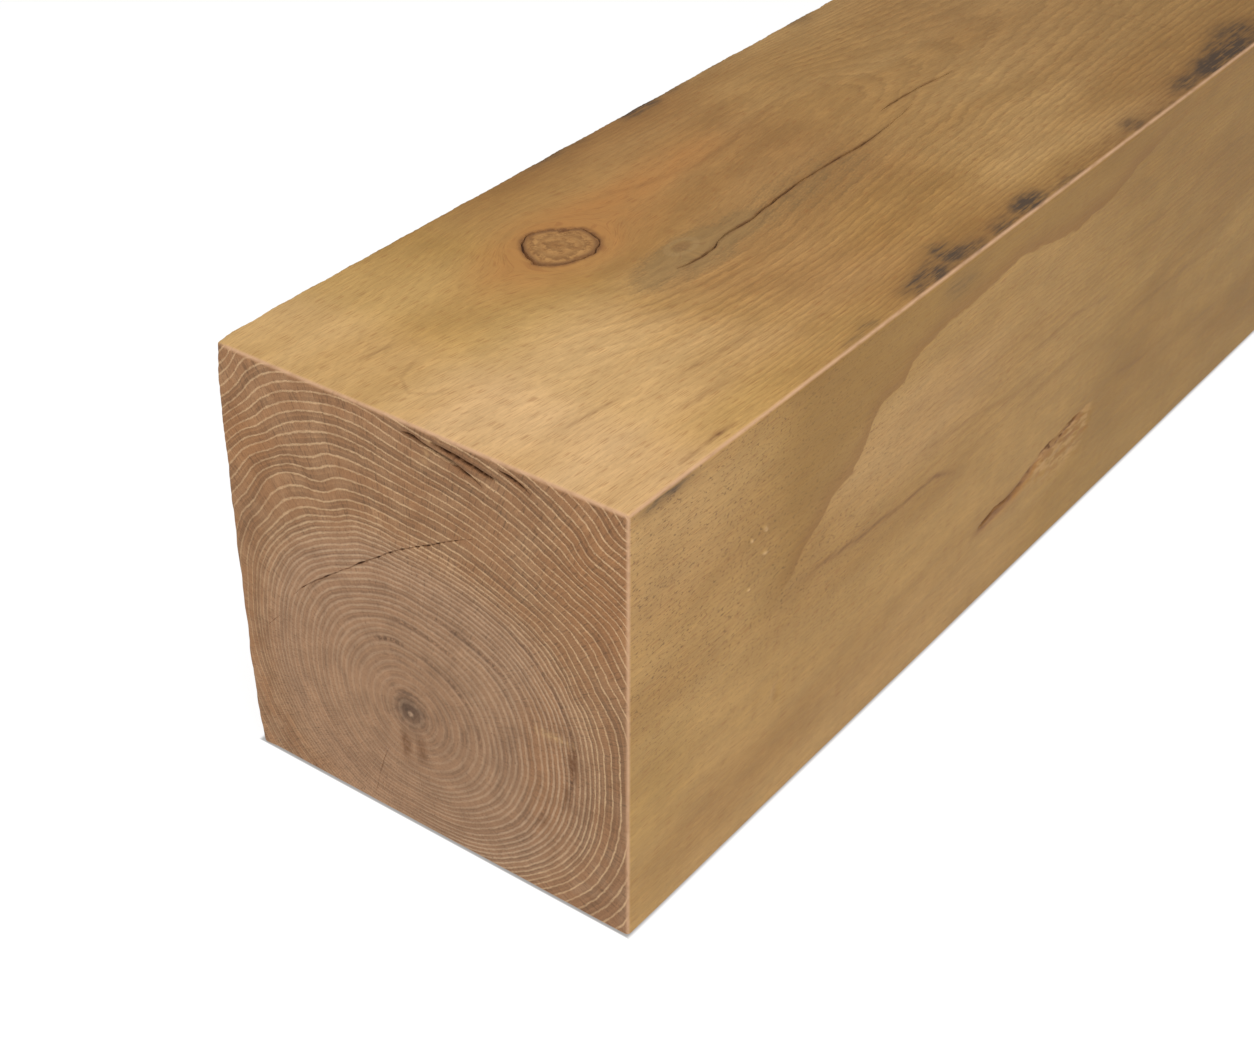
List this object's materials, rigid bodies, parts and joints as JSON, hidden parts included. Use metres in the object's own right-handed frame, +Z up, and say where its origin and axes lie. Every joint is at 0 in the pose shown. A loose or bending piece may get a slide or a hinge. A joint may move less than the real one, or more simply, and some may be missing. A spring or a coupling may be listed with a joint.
{
  "type": "oak post",
  "caption": "Square sawn oak post lying on one long face, cut square at both ends, with eased arrises, growth rings on the ends, knots and seasoning checks.",
  "frame": {"origin": "under the middle of the post, on the surface that it lies on", "axes": "+Y along the length, away from the front end; +Z up, out of the top face; +X out of the planed side face"},
  "size_m": [0.1512, 1.2, 0.15],
  "materials": {
    "oak": "planed and sawn, bare and unfinished"
  },
  "bodies": {
    "root": {"oak_post": "oak"}
  },
  "joints": []
}
